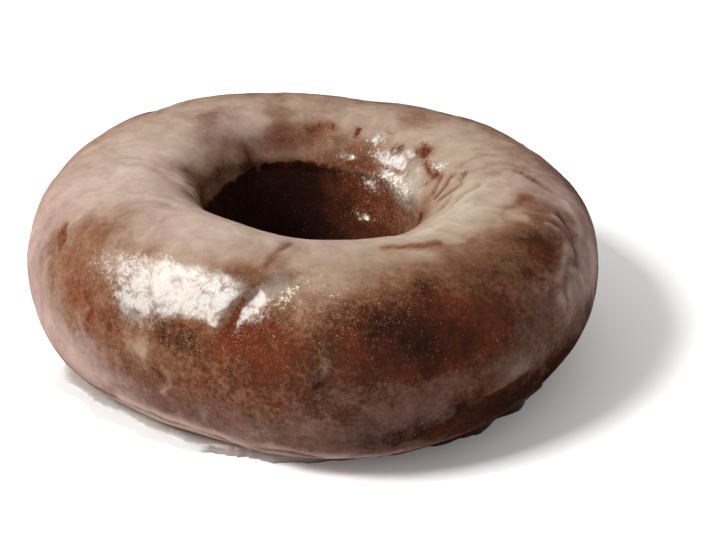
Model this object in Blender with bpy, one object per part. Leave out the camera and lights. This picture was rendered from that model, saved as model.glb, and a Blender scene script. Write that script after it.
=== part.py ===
# Chocolate glazed ring doughnut at its real size, in metres, with +Z up.
# It rests on z = 0 with its origin below the middle of its box, and its shown front looks along -Y.
# A bearing runs round the ring, anticlockwise from +X. A turn runs round the section of the ring,
# from 0 at the outer belly, over the crown at 90, to 180 at the wall of the hole.

from math import cos, exp, pi, radians, sin

import bmesh
import bpy
from mathutils import Vector, noise

# Driving dimensions of the ring
OUTER_RADIUS = 0.0460
HOLE_RADIUS = 0.0154
CROWN_RADIUS = 0.0295
CROWN_HEIGHT = 0.0296
BELLY_HEIGHT = 0.0150
BELLY_DROP = 1.06  # the section's lower half is this much deeper than the belly is high, and is cut flat
SIDE_POWER = 2.57  # powers of the section's rounded outline: 2 is an ellipse, more is squarer
TOP_POWER = 2.09

# Unevenness of the hand-shaped ring: waves round it, how far they swell, and the bearing of a crest
OUTER_SWELLS = (
    (1, 0.00095, 82),
    (2, 0.00159, -35),
    (3, 0.00069, 40),
    (4, 0.00063, 17),
    (5, 0.00037, -12),
    (6, 0.00020, 30),
)
CROWN_SWELLS = ((1, 0.00153, 181), (2, 0.00021, 81), (3, 0.00038, 10), (4, 0.00025, 42))
HOLE_SWELLS = ((1, 0.00012, 124), (2, 0.00026, -29), (3, 0.00019, 52))

# Local forms of the skin: bearing and turn of the middle, half length, half width, height (negative for
# a dent), and the lean of the length, which lies along the ring at 0 and across the section at 90
SKIN_FORMS = (
    (257, 52, 0.0062, 0.0013, -0.0009, 62),  # crease in the front shoulder
    (262, 56, 0.0050, 0.0013, -0.0006, 38),  # its second arm
    (252, 49, 0.0040, 0.0022, 0.0003, 62),  # the swelling between the arms
    (271, 12, 0.0022, 0.0019, -0.0008, 15),  # dimple below the front belly
    (275, 21, 0.0032, 0.0012, 0.0004, 15),  # its raised upper lip
    (190, 22, 0.0034, 0.0030, 0.0005, 80),  # knuckle on the left edge
    (209, -24, 0.0090, 0.0050, 0.0006, 0),  # fuller low left side
    (350, 33, 0.0036, 0.0026, 0.0004, 70),  # knuckle on the right edge
    (310, 116, 0.0040, 0.0020, -0.0006, 20),  # step in the near rim of the hole
    (286, 28, 0.0090, 0.0050, -0.0006, 5),  # flat stretch of the front right side
    (232, 46, 0.0120, 0.0048, -0.0005, 4),  # flattened left shoulder
    (32, 118, 0.0030, 0.0013, -0.0006, 75),  # nick in the far rim of the hole
    (89, 119, 0.0034, 0.0014, -0.0005, 80),
    (132, 62, 0.0070, 0.0020, -0.0005, 30),  # creases on the far side
    (68, 40, 0.0060, 0.0018, -0.0007, 55),
    (104, 18, 0.0050, 0.0026, -0.0006, 20),
)

# Folds of the drying glaze, in bunches: bearing and turn of the middle, how far the bunch reaches along
# and across the ring, the spacing of its folds, their height, and the lean of their length
FOLD_BUNCHES = (
    (341, 47, 0.0080, 0.0060, 0.0046, 0.00028, 74),
    (330, 26, 0.0080, 0.0070, 0.0048, 0.00022, 45),
    (182, 122, 0.0080, 0.0060, 0.0036, 0.00022, 62),
    (20, 58, 0.0120, 0.0060, 0.0040, 0.00022, 14),
    (150, 30, 0.0100, 0.0070, 0.0042, 0.00022, 24),
)

LUMP_SIZE = 0.011
LUMP_HEIGHT = 0.00032

# Lip inside the hole, under which the wall stands back
LIP_TURN = 143
LIP_SWAY = 6  # degrees of turn that the lip lies lower at one side than at the middle
LIP_LOW_BEARING = 35
LIP_RECESS = 0.0009
LIP_SPREAD = 6  # degrees of turn over which the wall steps back
RECESS_END_TURN = 225

# Foot of glaze that ran down and set where the ring rests
FOOT_RADIUS = 0.0381
FOOT_SWELLS = ((1, 0.0009, -18), (2, 0.0003, 150))
FOOT_SCALLOP = 0.0005  # how far the foot's small lobes reach
SCALLOP_WAVES = 5.5
FOOT_REACHES = ((195, 12, 0.0012), (238, 18, -0.0026))  # bearing, width, and how much further it reaches there
FOOT_THICKNESS = 0.0008
FOOT_START_TURN = -60  # the foot leaves the ring's side here
INNER_FOOT_INSET = 0.0012
INNER_FOOT_TURN = 242  # and reaches the wall of the hole here

# Mesh of the skin: the section's rows lie closer together at the lip
BEARING_STEPS = 138
OUTER_ROWS = 21
LIP_ROWS = 5
WALL_ROWS = 9
UNDERSIDE_ROWS = 3
NUDGE = 0.02  # degrees, for the slope of the skin


def swollen(size, swells, bearing):
    """A size with its waves round the ring added."""
    return size + sum(far * cos(waves * radians(bearing - crest)) for waves, far, crest in swells)


def rounded(value, power):
    """A sine or cosine, bent to the section's power."""
    return (1 if value > 0 else -1) * abs(value) ** (2 / power)


def smooth_point(bearing, turn):
    """The ring's own form, before anything dents or folds its skin."""
    outward = rounded(cos(radians(turn)), SIDE_POWER)
    upward = rounded(sin(radians(turn)), TOP_POWER)
    if outward > 0:
        reach = swollen(OUTER_RADIUS, OUTER_SWELLS, bearing) - CROWN_RADIUS
    else:
        reach = CROWN_RADIUS - swollen(HOLE_RADIUS, HOLE_SWELLS, bearing)
    if upward > 0:
        rise = swollen(CROWN_HEIGHT, CROWN_SWELLS, bearing) - BELLY_HEIGHT
    else:
        rise = BELLY_HEIGHT * BELLY_DROP
    radius = CROWN_RADIUS + reach * outward
    height = max(0.0, BELLY_HEIGHT + rise * upward)
    return Vector((radius * cos(radians(bearing)), radius * sin(radians(bearing)), height))


def surface_slope(bearing, turn):
    """Unit vectors along the ring, across the section and out of the skin."""
    along = smooth_point(bearing + NUDGE, turn) - smooth_point(bearing - NUDGE, turn)
    across = smooth_point(bearing, turn + NUDGE) - smooth_point(bearing, turn - NUDGE)
    return along.normalized(), across.normalized(), along.cross(across).normalized()


def leaning_offsets(point, middle, axes, lean):
    """How far a point lies from a middle, along and beside a direction that leans in the skin."""
    along, across = axes
    offset = point - middle
    step_along, step_across = offset.dot(along), offset.dot(across)
    lengthwise = step_along * cos(radians(lean)) + step_across * sin(radians(lean))
    sideways = step_across * cos(radians(lean)) - step_along * sin(radians(lean))
    return lengthwise, sideways, offset.length


def bell(offset, reach):
    """A smooth hump, 1 in the middle and nearly 0 at twice its reach."""
    return exp(-((offset / reach) ** 2))


def form_height(point):
    """Height that the local swellings, dents and creases give a point of the skin."""
    height = 0.0
    for middle, axes, (_, _, half_length, half_width, rise, lean) in FORM_PLACES:
        lengthwise, sideways, away = leaning_offsets(point, middle, axes, lean)
        if away < 3 * half_length:
            height += rise * bell(lengthwise, half_length) * bell(sideways, half_width)
    return height


def fold_height(point):
    """Height of the folds of the glaze: ridges side by side that wander and die away."""
    height = 0.0
    for middle, axes, (_, _, length, width, spacing, rise, lean) in FOLD_PLACES:
        lengthwise, sideways, away = leaning_offsets(point, middle, axes, lean)
        if away < 3 * length:
            wander = spacing * noise.noise(point / (2 * spacing))
            ridge = sin(2 * pi * (sideways + wander) / spacing)
            height += rise * ridge * bell(lengthwise, length) * bell(sideways, width)
    return height


def lip_turn(bearing):
    """Where the lip lies on the wall of the hole."""
    return LIP_TURN + LIP_SWAY * cos(radians(bearing - LIP_LOW_BEARING))


def eased(share):
    """A smooth step from 0 to 1."""
    share = min(1, max(0, share))
    return share * share * (3 - 2 * share)


def lip_recess(bearing, turn):
    """How far the wall of the hole stands back under the lip."""
    below = turn - lip_turn(bearing)
    reach = RECESS_END_TURN - lip_turn(bearing)
    return LIP_RECESS * eased(below / LIP_SPREAD) * eased((reach - below) / reach)


def skin_point(bearing, turn):
    """A point of the finished skin: the ring's own form with its relief raised along the normal."""
    point = smooth_point(bearing, turn)
    outward = surface_slope(bearing, turn)[2]
    lump = LUMP_HEIGHT * noise.noise(point / LUMP_SIZE)
    relief = form_height(point) + fold_height(point) + lump - lip_recess(bearing, turn)
    return point + outward * relief


def spread(start, end, steps):
    """Evenly spaced values from a start up to, and without, an end."""
    return [start + (end - start) * step / steps for step in range(steps)]


def row_turns(bearing):
    """The turns of the section's rows, from the outer foot over the crown to the inner foot."""
    lip_top = lip_turn(bearing) - LIP_SPREAD
    lip_end = lip_turn(bearing) + 1.5 * LIP_SPREAD
    turns = spread(FOOT_START_TURN, lip_top, OUTER_ROWS) + spread(lip_top, lip_end, LIP_ROWS)
    return turns + spread(lip_end, INNER_FOOT_TURN, WALL_ROWS - 1) + [INNER_FOOT_TURN]


def placed(forms):
    """Each form with its middle on the ring and the directions of the skin there."""
    return [(smooth_point(form[0], form[1]), surface_slope(form[0], form[1])[:2], form) for form in forms]


FORM_PLACES = placed(SKIN_FORMS)
FOLD_PLACES = placed(FOLD_BUNCHES)


def outer_foot_radius(bearing):
    """How far the glaze foot runs out, with its scallops."""
    where = Vector((cos(radians(bearing)), sin(radians(bearing)), 0)) * SCALLOP_WAVES
    radius = swollen(FOOT_RADIUS, FOOT_SWELLS, bearing) + FOOT_SCALLOP * noise.noise(where)
    return radius + sum(reach * bell(bearing - middle, width) for middle, width, reach in FOOT_REACHES)


def foot_points(bearing, skin, foot_radius):
    """From the ring's side to the floor: the slope of the foot, its rounded edge and its underside."""
    direction = Vector((cos(radians(bearing)), sin(radians(bearing)), 0))
    skin_radius = skin.dot(direction)
    outward = 1 if skin_radius > CROWN_RADIUS else -1
    middle = direction * (0.5 * (skin_radius + foot_radius))
    middle.z = FOOT_THICKNESS + 0.35 * (skin.z - FOOT_THICKNESS)
    shoulder = direction * (foot_radius - outward * 0.35 * FOOT_THICKNESS)
    shoulder.z = FOOT_THICKNESS
    rim = direction * foot_radius
    rim.z = 0.45 * FOOT_THICKNESS
    return [middle, shoulder, rim, direction * (foot_radius - outward * 0.2 * FOOT_THICKNESS)]


def section_loop(bearing):
    """One closed loop round the section: outer foot, arc over the crown, inner foot, underside."""
    arc = [skin_point(bearing, turn) for turn in row_turns(bearing)]
    outer_foot = foot_points(bearing, arc[0], outer_foot_radius(bearing))
    direction = Vector((cos(radians(bearing)), sin(radians(bearing)), 0))
    inner_foot = foot_points(bearing, arc[-1], arc[-1].dot(direction) + INNER_FOOT_INSET)
    underside = [
        inner_foot[-1].lerp(outer_foot[-1], (row + 1) / (UNDERSIDE_ROWS + 1)) for row in range(UNDERSIDE_ROWS)
    ]
    return outer_foot[::-1] + arc + inner_foot + underside


def ring_mesh(name):
    """The closed skin of the ring, its box centred on the origin and its base on z = 0."""
    grid = bmesh.new()
    loops = []
    for step in range(BEARING_STEPS):
        loops.append([grid.verts.new(point) for point in section_loop(360 * step / BEARING_STEPS)])
    for step, near in enumerate(loops):
        far = loops[(step + 1) % BEARING_STEPS]
        for row in range(len(near)):
            above = (row + 1) % len(near)
            grid.faces.new((near[row], far[row], far[above], near[above]))
    bmesh.ops.recalc_face_normals(grid, faces=grid.faces)
    points = [vertex.co for vertex in grid.verts]
    middle_x = (min(p.x for p in points) + max(p.x for p in points)) / 2
    middle_y = (min(p.y for p in points) + max(p.y for p in points)) / 2
    bmesh.ops.translate(grid, verts=grid.verts, vec=Vector((-middle_x, -middle_y, 0)))
    mesh = bpy.data.meshes.new(name)
    grid.to_mesh(mesh)
    grid.free()
    mesh.shade_smooth()
    return mesh


def glazed_chocolate():
    """Brown chocolate dough under a set sugar glaze."""
    material = bpy.data.materials.new("glazed_chocolate_dough")
    material.use_nodes = True
    shader = material.node_tree.nodes["Principled BSDF"]
    shader.inputs["Base Color"].default_value = (0.19, 0.085, 0.050, 1)
    shader.inputs["Roughness"].default_value = 0.35
    shader.inputs["Metallic"].default_value = 0.0
    return material


def build():
    for old in list(bpy.data.objects):
        bpy.data.objects.remove(old)
    doughnut = bpy.data.objects.new("doughnut", ring_mesh("doughnut"))
    doughnut.data.materials.append(glazed_chocolate())
    bpy.context.scene.collection.objects.link(doughnut)


build()
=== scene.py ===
from math import cos, pi, radians, sin

import bmesh
import bpy
import numpy as np
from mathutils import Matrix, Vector, noise


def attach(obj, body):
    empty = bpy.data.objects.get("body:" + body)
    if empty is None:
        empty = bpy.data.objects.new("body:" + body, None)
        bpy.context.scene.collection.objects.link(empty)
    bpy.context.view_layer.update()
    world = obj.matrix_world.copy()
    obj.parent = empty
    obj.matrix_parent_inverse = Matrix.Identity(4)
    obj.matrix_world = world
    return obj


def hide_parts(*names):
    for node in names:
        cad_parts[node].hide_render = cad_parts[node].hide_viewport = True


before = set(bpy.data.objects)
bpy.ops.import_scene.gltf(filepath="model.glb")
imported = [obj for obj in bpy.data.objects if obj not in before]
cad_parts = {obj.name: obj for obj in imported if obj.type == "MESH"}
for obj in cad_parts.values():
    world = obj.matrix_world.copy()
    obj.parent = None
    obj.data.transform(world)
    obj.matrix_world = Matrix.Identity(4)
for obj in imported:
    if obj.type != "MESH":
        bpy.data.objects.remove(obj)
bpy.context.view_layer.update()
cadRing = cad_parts["doughnut"]
scene = bpy.context.scene

millimetre = 0.001

# A bearing runs round the ring, anticlockwise from +X, so 270 faces the camera.
# A turn runs round its section: 0 at the outer belly, 90 on the crown, 180 at the wall of the hole.
ring = {
    "crownRadius": 0.0295,
    "outerRadius": 0.0460,
    "holeRadius": 0.0154,
    "crownHeight": 0.0296,
    "bellyHeight": 0.0150,
    "sidePower": 2.57,
    "topPower": 2.09,
    "sectionRadius": 0.0155,  # turns a turn into a length along the skin
    "lipTurn": 145,
}


def setInputs(tree, node, inputs):
    for key, value in inputs.items():
        if isinstance(value, bpy.types.NodeSocket):
            tree.links.new(value, node.inputs[key])
        else:
            node.inputs[key].default_value = value


def addNode(tree, kind, inputs=None, **settings):
    node = tree.nodes.new(kind)
    for name, value in settings.items():
        setattr(node, name, value)
    setInputs(tree, node, inputs or {})
    return node


def sums(tree, operation, *values):
    return addNode(tree, "ShaderNodeMath", dict(enumerate(values)), operation=operation).outputs[0]


def times(tree, first, second):
    return sums(tree, "MULTIPLY", first, second)


def plus(tree, first, second):
    return sums(tree, "ADD", first, second)


def less(tree, first, second):
    return sums(tree, "SUBTRACT", first, second)


def vectorSums(tree, operation, *values):
    node = addNode(tree, "ShaderNodeVectorMath", dict(enumerate(values)), operation=operation)
    return node.outputs[0]


def noiseValue(tree, vector, size, detail=3.0, roughness=0.55, warp=0.0):
    inputs = {"Vector": vector, "Scale": 1 / size, "Detail": detail, "Roughness": roughness}
    inputs["Distortion"] = warp
    return addNode(tree, "ShaderNodeTexNoise", inputs).outputs[0]


def swing(tree, pattern, amount):
    return times(tree, less(tree, pattern, 0.5), amount)


def remap(tree, value, low, high, newLow=0.0, newHigh=1.0, smooth=True):
    inputs = {"Value": value, "From Min": low, "From Max": high, "To Min": newLow, "To Max": newHigh}
    kind = "SMOOTHSTEP" if smooth else "LINEAR"
    return addNode(tree, "ShaderNodeMapRange", inputs, interpolation_type=kind, clamp=True).outputs[0]


def attributeNode(tree, name, output):
    return addNode(tree, "ShaderNodeAttribute", attribute_name=name).outputs[output]


def mixed(tree, factor, first, second):
    node = addNode(tree, "ShaderNodeMix", data_type="RGBA")
    setInputs(tree, node, {0: factor, 6: first, 7: second})
    return node.outputs[2]


def ringCoordinates(points):
    radius = np.hypot(points[:, 0], points[:, 1])
    crown = ring["crownRadius"]
    out = radius - crown
    up = points[:, 2] - ring["bellyHeight"]
    reach = np.where(out > 0, ring["outerRadius"] - crown, crown - ring["holeRadius"])
    rise = ring["crownHeight"] - ring["bellyHeight"]
    across = np.sign(out) * np.abs(out / reach) ** (ring["sidePower"] / 2)
    above = np.sign(up) * np.abs(up / rise) ** (ring["topPower"] / 2)
    turn = np.degrees(np.arctan2(above, across))
    bearing = np.degrees(np.arctan2(points[:, 1], points[:, 0])) % 360
    return bearing, np.where(turn < -100, turn + 360, turn)


def vertexArray(mesh, name):
    values = np.empty(len(mesh.vertices) * 3, np.float32)
    mesh.vertices.foreach_get(name, values)
    return values.reshape(-1, 3).astype(float)


def storePoints(mesh, points):
    mesh.vertices.foreach_set("co", points.astype(np.float32).ravel())
    mesh.update()


def storeAttribute(mesh, name, values):
    kind = "FLOAT_VECTOR" if values.ndim == 2 else "FLOAT"
    layer = mesh.attributes.new(name, kind, "POINT")
    layer.data.foreach_set("vector" if values.ndim == 2 else "value", values.astype(np.float32).ravel())


def noiseArray(points, size, shift):
    offset = Vector((shift, shift * 0.7, shift * 1.3))
    return np.array([noise.noise(Vector(p) / size + offset) for p in points])


def turnedFrom(bearing, middle):
    return (bearing - middle + 180) % 360 - 180


def skinOffsets(bearing, turn, middleBearing, middleTurn):
    radius = ring["crownRadius"] + ring["sectionRadius"] * cos(radians(middleTurn))
    sideways = np.radians(turnedFrom(bearing, middleBearing)) * radius
    upward = np.radians(turn - middleTurn) * ring["sectionRadius"]
    return sideways, upward


def patchField(bearing, turn, patches):
    field = np.zeros(len(bearing))
    for middleBearing, middleTurn, halfLength, halfWidth, amount, *lean in patches:
        sideways, upward = skinOffsets(bearing, turn, middleBearing, middleTurn)
        angle = radians(sum(lean))
        lengthwise = (sideways * cos(angle) + upward * sin(angle)) / (halfLength * millimetre)
        beside = (upward * cos(angle) - sideways * sin(angle)) / (halfWidth * millimetre)
        field += amount * np.exp(-(lengthwise**2) - beside**2)
    return field


def lineField(bearing, turn, halfWidth, line):
    nearest = np.full(len(bearing), 1.0)
    for (startBearing, startTurn), (endBearing, endTurn) in zip(line, line[1:]):
        sideways, upward = skinOffsets(bearing, turn, startBearing, startTurn)
        end = skinOffsets(np.array([endBearing]), np.array([endTurn]), startBearing, startTurn)
        run = np.array([end[0][0], end[1][0]])
        share = np.clip((sideways * run[0] + upward * run[1]) / (run @ run), 0, 1)
        nearest = np.minimum(nearest, np.hypot(sideways - share * run[0], upward - share * run[1]))
    return np.exp(-((nearest / halfWidth) ** 2))


def meshFromTree(source, tree, values, name):
    carrier = bpy.data.objects.new(name, source)
    scene.collection.objects.link(carrier)
    modifier = carrier.modifiers.new("build", "NODES")
    modifier.node_group = tree
    for item in tree.interface.items_tree:
        if item.item_type == "SOCKET" and item.in_out == "INPUT" and item.name in values:
            modifier[item.identifier] = values[item.name]
    evaluated = carrier.evaluated_get(bpy.context.evaluated_depsgraph_get())
    mesh = bpy.data.meshes.new_from_object(evaluated)
    mesh.name = name
    carrier.modifiers.clear()
    bpy.data.objects.remove(carrier)
    piece = bpy.data.objects.new(name, mesh)
    scene.collection.objects.link(piece)
    return piece


def newTree(name, inputs):
    tree = bpy.data.node_groups.new(name, "GeometryNodeTree")
    tree.interface.new_socket("Geometry", in_out="OUTPUT", socket_type="NodeSocketGeometry")
    tree.interface.new_socket("Geometry", in_out="INPUT", socket_type="NodeSocketGeometry")
    for label, kind in inputs:
        tree.interface.new_socket(label, in_out="INPUT", socket_type=kind)
    return tree, addNode(tree, "NodeGroupInput").outputs


def closeTree(tree, geometry, material):
    painted = addNode(tree, "GeometryNodeSetMaterial", {"Geometry": geometry, "Material": material})
    realized = addNode(tree, "GeometryNodeRealizeInstances", {"Geometry": painted.outputs[0]})
    addNode(tree, "NodeGroupOutput", {0: realized.outputs[0]})


def storedField(tree, name, kind):
    return addNode(tree, "GeometryNodeInputNamedAttribute", {"Name": name}, data_type=kind).outputs[0]


# Shader groups that the dough, its glaze and its crystals share

def raggedMaskGroup():
    group = bpy.data.node_groups.new("raggedMask", "ShaderNodeTree")
    for label, kind, value in (
        ("Vector", "NodeSocketVector", None),
        ("Amount", "NodeSocketFloat", 0.5),
        ("Size", "NodeSocketFloat", 0.006),
        ("Rag", "NodeSocketFloat", 1.0),
        ("Edge", "NodeSocketFloat", 0.2),
        ("Shift", "NodeSocketFloat", 0.0),
    ):
        socket = group.interface.new_socket(label, in_out="INPUT", socket_type=kind)
        if value is not None:
            socket.default_value = value
    group.interface.new_socket("Mask", in_out="OUTPUT", socket_type="NodeSocketFloat")
    given = addNode(group, "NodeGroupInput").outputs
    scale = sums(group, "DIVIDE", 1.0, given["Size"])
    moved = vectorSums(group, "ADD", given["Vector"], given["Shift"])
    inputs = {"Vector": moved, "Scale": scale, "Detail": 6.0, "Roughness": 0.6, "Distortion": 0.4}
    pattern = addNode(group, "ShaderNodeTexNoise", inputs).outputs[0]
    uneven = plus(group, given["Amount"], swing(group, pattern, given["Rag"]))
    low = less(group, 0.5, given["Edge"])
    high = plus(group, 0.5, given["Edge"])
    mask = remap(group, uneven, low, high)
    addNode(group, "NodeGroupOutput", {"Mask": mask})
    return group


# Grain of the drying sugar, and specks in it that paint the sparkle of sugar catching the light
sugarSpecks = {
    "size": 0.0003,
    "dent": -0.4,  # how deep the grain's cells are
    "chosen": (0.70, 1.0),
    "edge": (0.45, 0.15),
    "clusterSize": 0.0032,
    "cluster": (0.42, 0.66, 0.08, 1.0),
}


def sugarGrainGroup():
    look = sugarSpecks
    group = bpy.data.node_groups.new("sugarGrain", "ShaderNodeTree")
    group.interface.new_socket("Vector", in_out="INPUT", socket_type="NodeSocketVector")
    size = group.interface.new_socket("Size", in_out="INPUT", socket_type="NodeSocketFloat")
    size.default_value = look["size"]
    group.interface.new_socket("Height", in_out="OUTPUT", socket_type="NodeSocketFloat")
    group.interface.new_socket("Specks", in_out="OUTPUT", socket_type="NodeSocketFloat")
    given = addNode(group, "NodeGroupInput").outputs
    scale = sums(group, "DIVIDE", 1.0, given["Size"])
    cells = addNode(group, "ShaderNodeTexVoronoi", {"Vector": given["Vector"], "Scale": scale})
    inputs = {"Vector": given["Vector"], "Scale": scale, "Detail": 3.0, "Roughness": 0.7}
    grain = addNode(group, "ShaderNodeTexNoise", inputs).outputs[0]
    height = plus(group, grain, times(group, cells.outputs["Distance"], look["dent"]))
    shade = addNode(group, "ShaderNodeSeparateColor", {0: cells.outputs["Color"]}).outputs[0]
    chosen = remap(group, shade, *look["chosen"])
    clusters = noiseValue(group, given["Vector"], look["clusterSize"], 4.0, 0.7)
    chosen = times(group, chosen, remap(group, clusters, *look["cluster"]))
    specks = times(group, remap(group, cells.outputs["Distance"], *look["edge"]), chosen)
    addNode(group, "NodeGroupOutput", {"Height": height, "Specks": specks})
    return group


raggedMask = raggedMaskGroup()
sugarGrain = sugarGrainGroup()


def groupNode(tree, group, inputs):
    return addNode(tree, "ShaderNodeGroup", inputs, node_tree=group).outputs


def newMaterial(name):
    material = bpy.data.materials.new(name)
    material.use_nodes = True
    tree = material.node_tree
    return material, tree, tree.nodes["Principled BSDF"]


# Material of the dough under its glaze
doughLook = {
    "brown": (0.060, 0.0235, 0.0125, 1),
    "redBrown": (0.108, 0.0258, 0.0118, 1),
    # the darkest dough, also used as painted shade under the belly and in the hole
    "deepBrownAndShade": (0.0205, 0.0078, 0.0058, 1),
    "darkRed": (0.125, 0.017, 0.008, 1),
    "thinWarm": (0.212, 0.106, 0.059, 1),
    "thinMauve": (0.178, 0.112, 0.094, 1),
    "film": (0.345, 0.269, 0.203, 1),
    "mauveFilm": (0.385, 0.268, 0.234, 1),
    "thickFilm": (0.440, 0.352, 0.290, 1),
    # greys the colour under the shine: a painted tint of the highlight
    "highlightTint": (0.190, 0.165, 0.130, 1),
    # specks and grains of painted sparkle, partly the sugar's own colour, placed where the glaze catches
    # the light
    "speck": (0.64, 0.44, 0.26, 1),
    "paintedSparkle": (0.42, 0.255, 0.125, 1),
    # painted glints: pale spots that stand in for the glaze catching the light
    "paintedGlint": (0.86, 0.79, 0.66, 1),
    "unevenness": 0.90,
    "rough": (0.50, 0.22),  # where it's dry and where it's wet
    "shader": {"Coat Roughness": 0.19, "Coat IOR": 2.0, "Specular IOR Level": 0.0},
    "grainSize": 0.00021,
    "grainHeight": 0.000016,
    "streakStretch": (1.0, 1.0, 0.65),
    # from how much cover each kind of film shows, and up to how much it grows
    "thin": (0.05, 0.70),
    "full": (0.38, 1.0),
    "thick": (0.92, 1.30),
    "calm": (0.15, 0.70),  # from how much cover a thick film calms the patterns, and by how much
    "calmed": {"mottle": 0.30, "streaks": 0.8, "shade": 0.85},
    "darkCover": 0.22,  # how much less film lies on the darkest dough
    # how the grain field brings out specks and grains of painted sparkle, and relief
    "speckSpan": (0.0, 0.8, 0.10, 1.0),
    "paintedSparkleSpan": (0.12, 0.90, 0.0, 0.66),
    "reliefSpan": (0.0, 1.0, 0.10, 1.0),
    "haloReach": 0.85,
    "haloShine": 0.75,
    "highlightTintShare": 0.34,
    "wetSmooth": 0.75,
    # noise that swings both ways: size, detail, roughness, distortion and amount
    "swings": {
        "cloud": (0.0070, 4.0, 0.5, 0.6, 0.45),
        "mottle": (0.0026, 6.0, 0.62, 0.6, 0.54),
        "streaks": (0.0017, 4.0, 0.65, 0.5, 0.62),
        "freckles": (0.0007, 4.0, 0.75, 0.0, 1.3),
        "tints": (0.0023, 5.0, 0.6, 0.6, 1.3),
        "broadShade": (0.0034, 7.0, 0.66, 0.7, 0.85),
        "fineShade": (0.0008, 4.0, 0.72, 0.0, 1.3),
        "wetEdge": (0.00040, 3.0, 0.75, 0.0, 0.8),
        "pores": (0.0012, 4.0, 0.6, 0.0, 2.2),
        "waves": (0.0030, 2.0, 0.5, 0.0, 6.0),
    },
    # noise that makes a mask: the same four, then where the mask starts and ends, and its two values
    "spots": {
        "crumbs": (0.0005, 3.0, 0.7, 0.0, 0.38, 0.60, 0.0, 1.0),
        "paintedSparkle": (0.00042, 5.0, 0.8, 0.0, 0.52, 0.74, 0.0, 1.0),
        "cracks": (0.0022, 8.0, 0.74, 0.5, 0.38, 0.53, 0.30, 1.0),
        "sparkle": (0.0003, 2.0, 0.7, 0.0, 0.36, 0.54, 0.78, 1.0),
    },
    # ragged masks: size of the rag, how ragged, how soft the edge, and shift of the noise
    "edges": {
        "darkAndShade": (0.0046, 1.1, 0.45, 3.1),
        "red": (0.0032, 1.4, 0.30, 7.7),
        "mauve": (0.0060, 1.1, 0.50, 1.3),
        "scar": (0.0006, 1.7, 0.36, 1.9),
        "paintedGlint": (0.00065, 1.7, 0.24, 8.3),
        "wet": (0.0016, 1.1, 0.24, 5.9),
        "halo": (0.00045, 1.6, 0.16, 4.4),
    },
}


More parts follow.
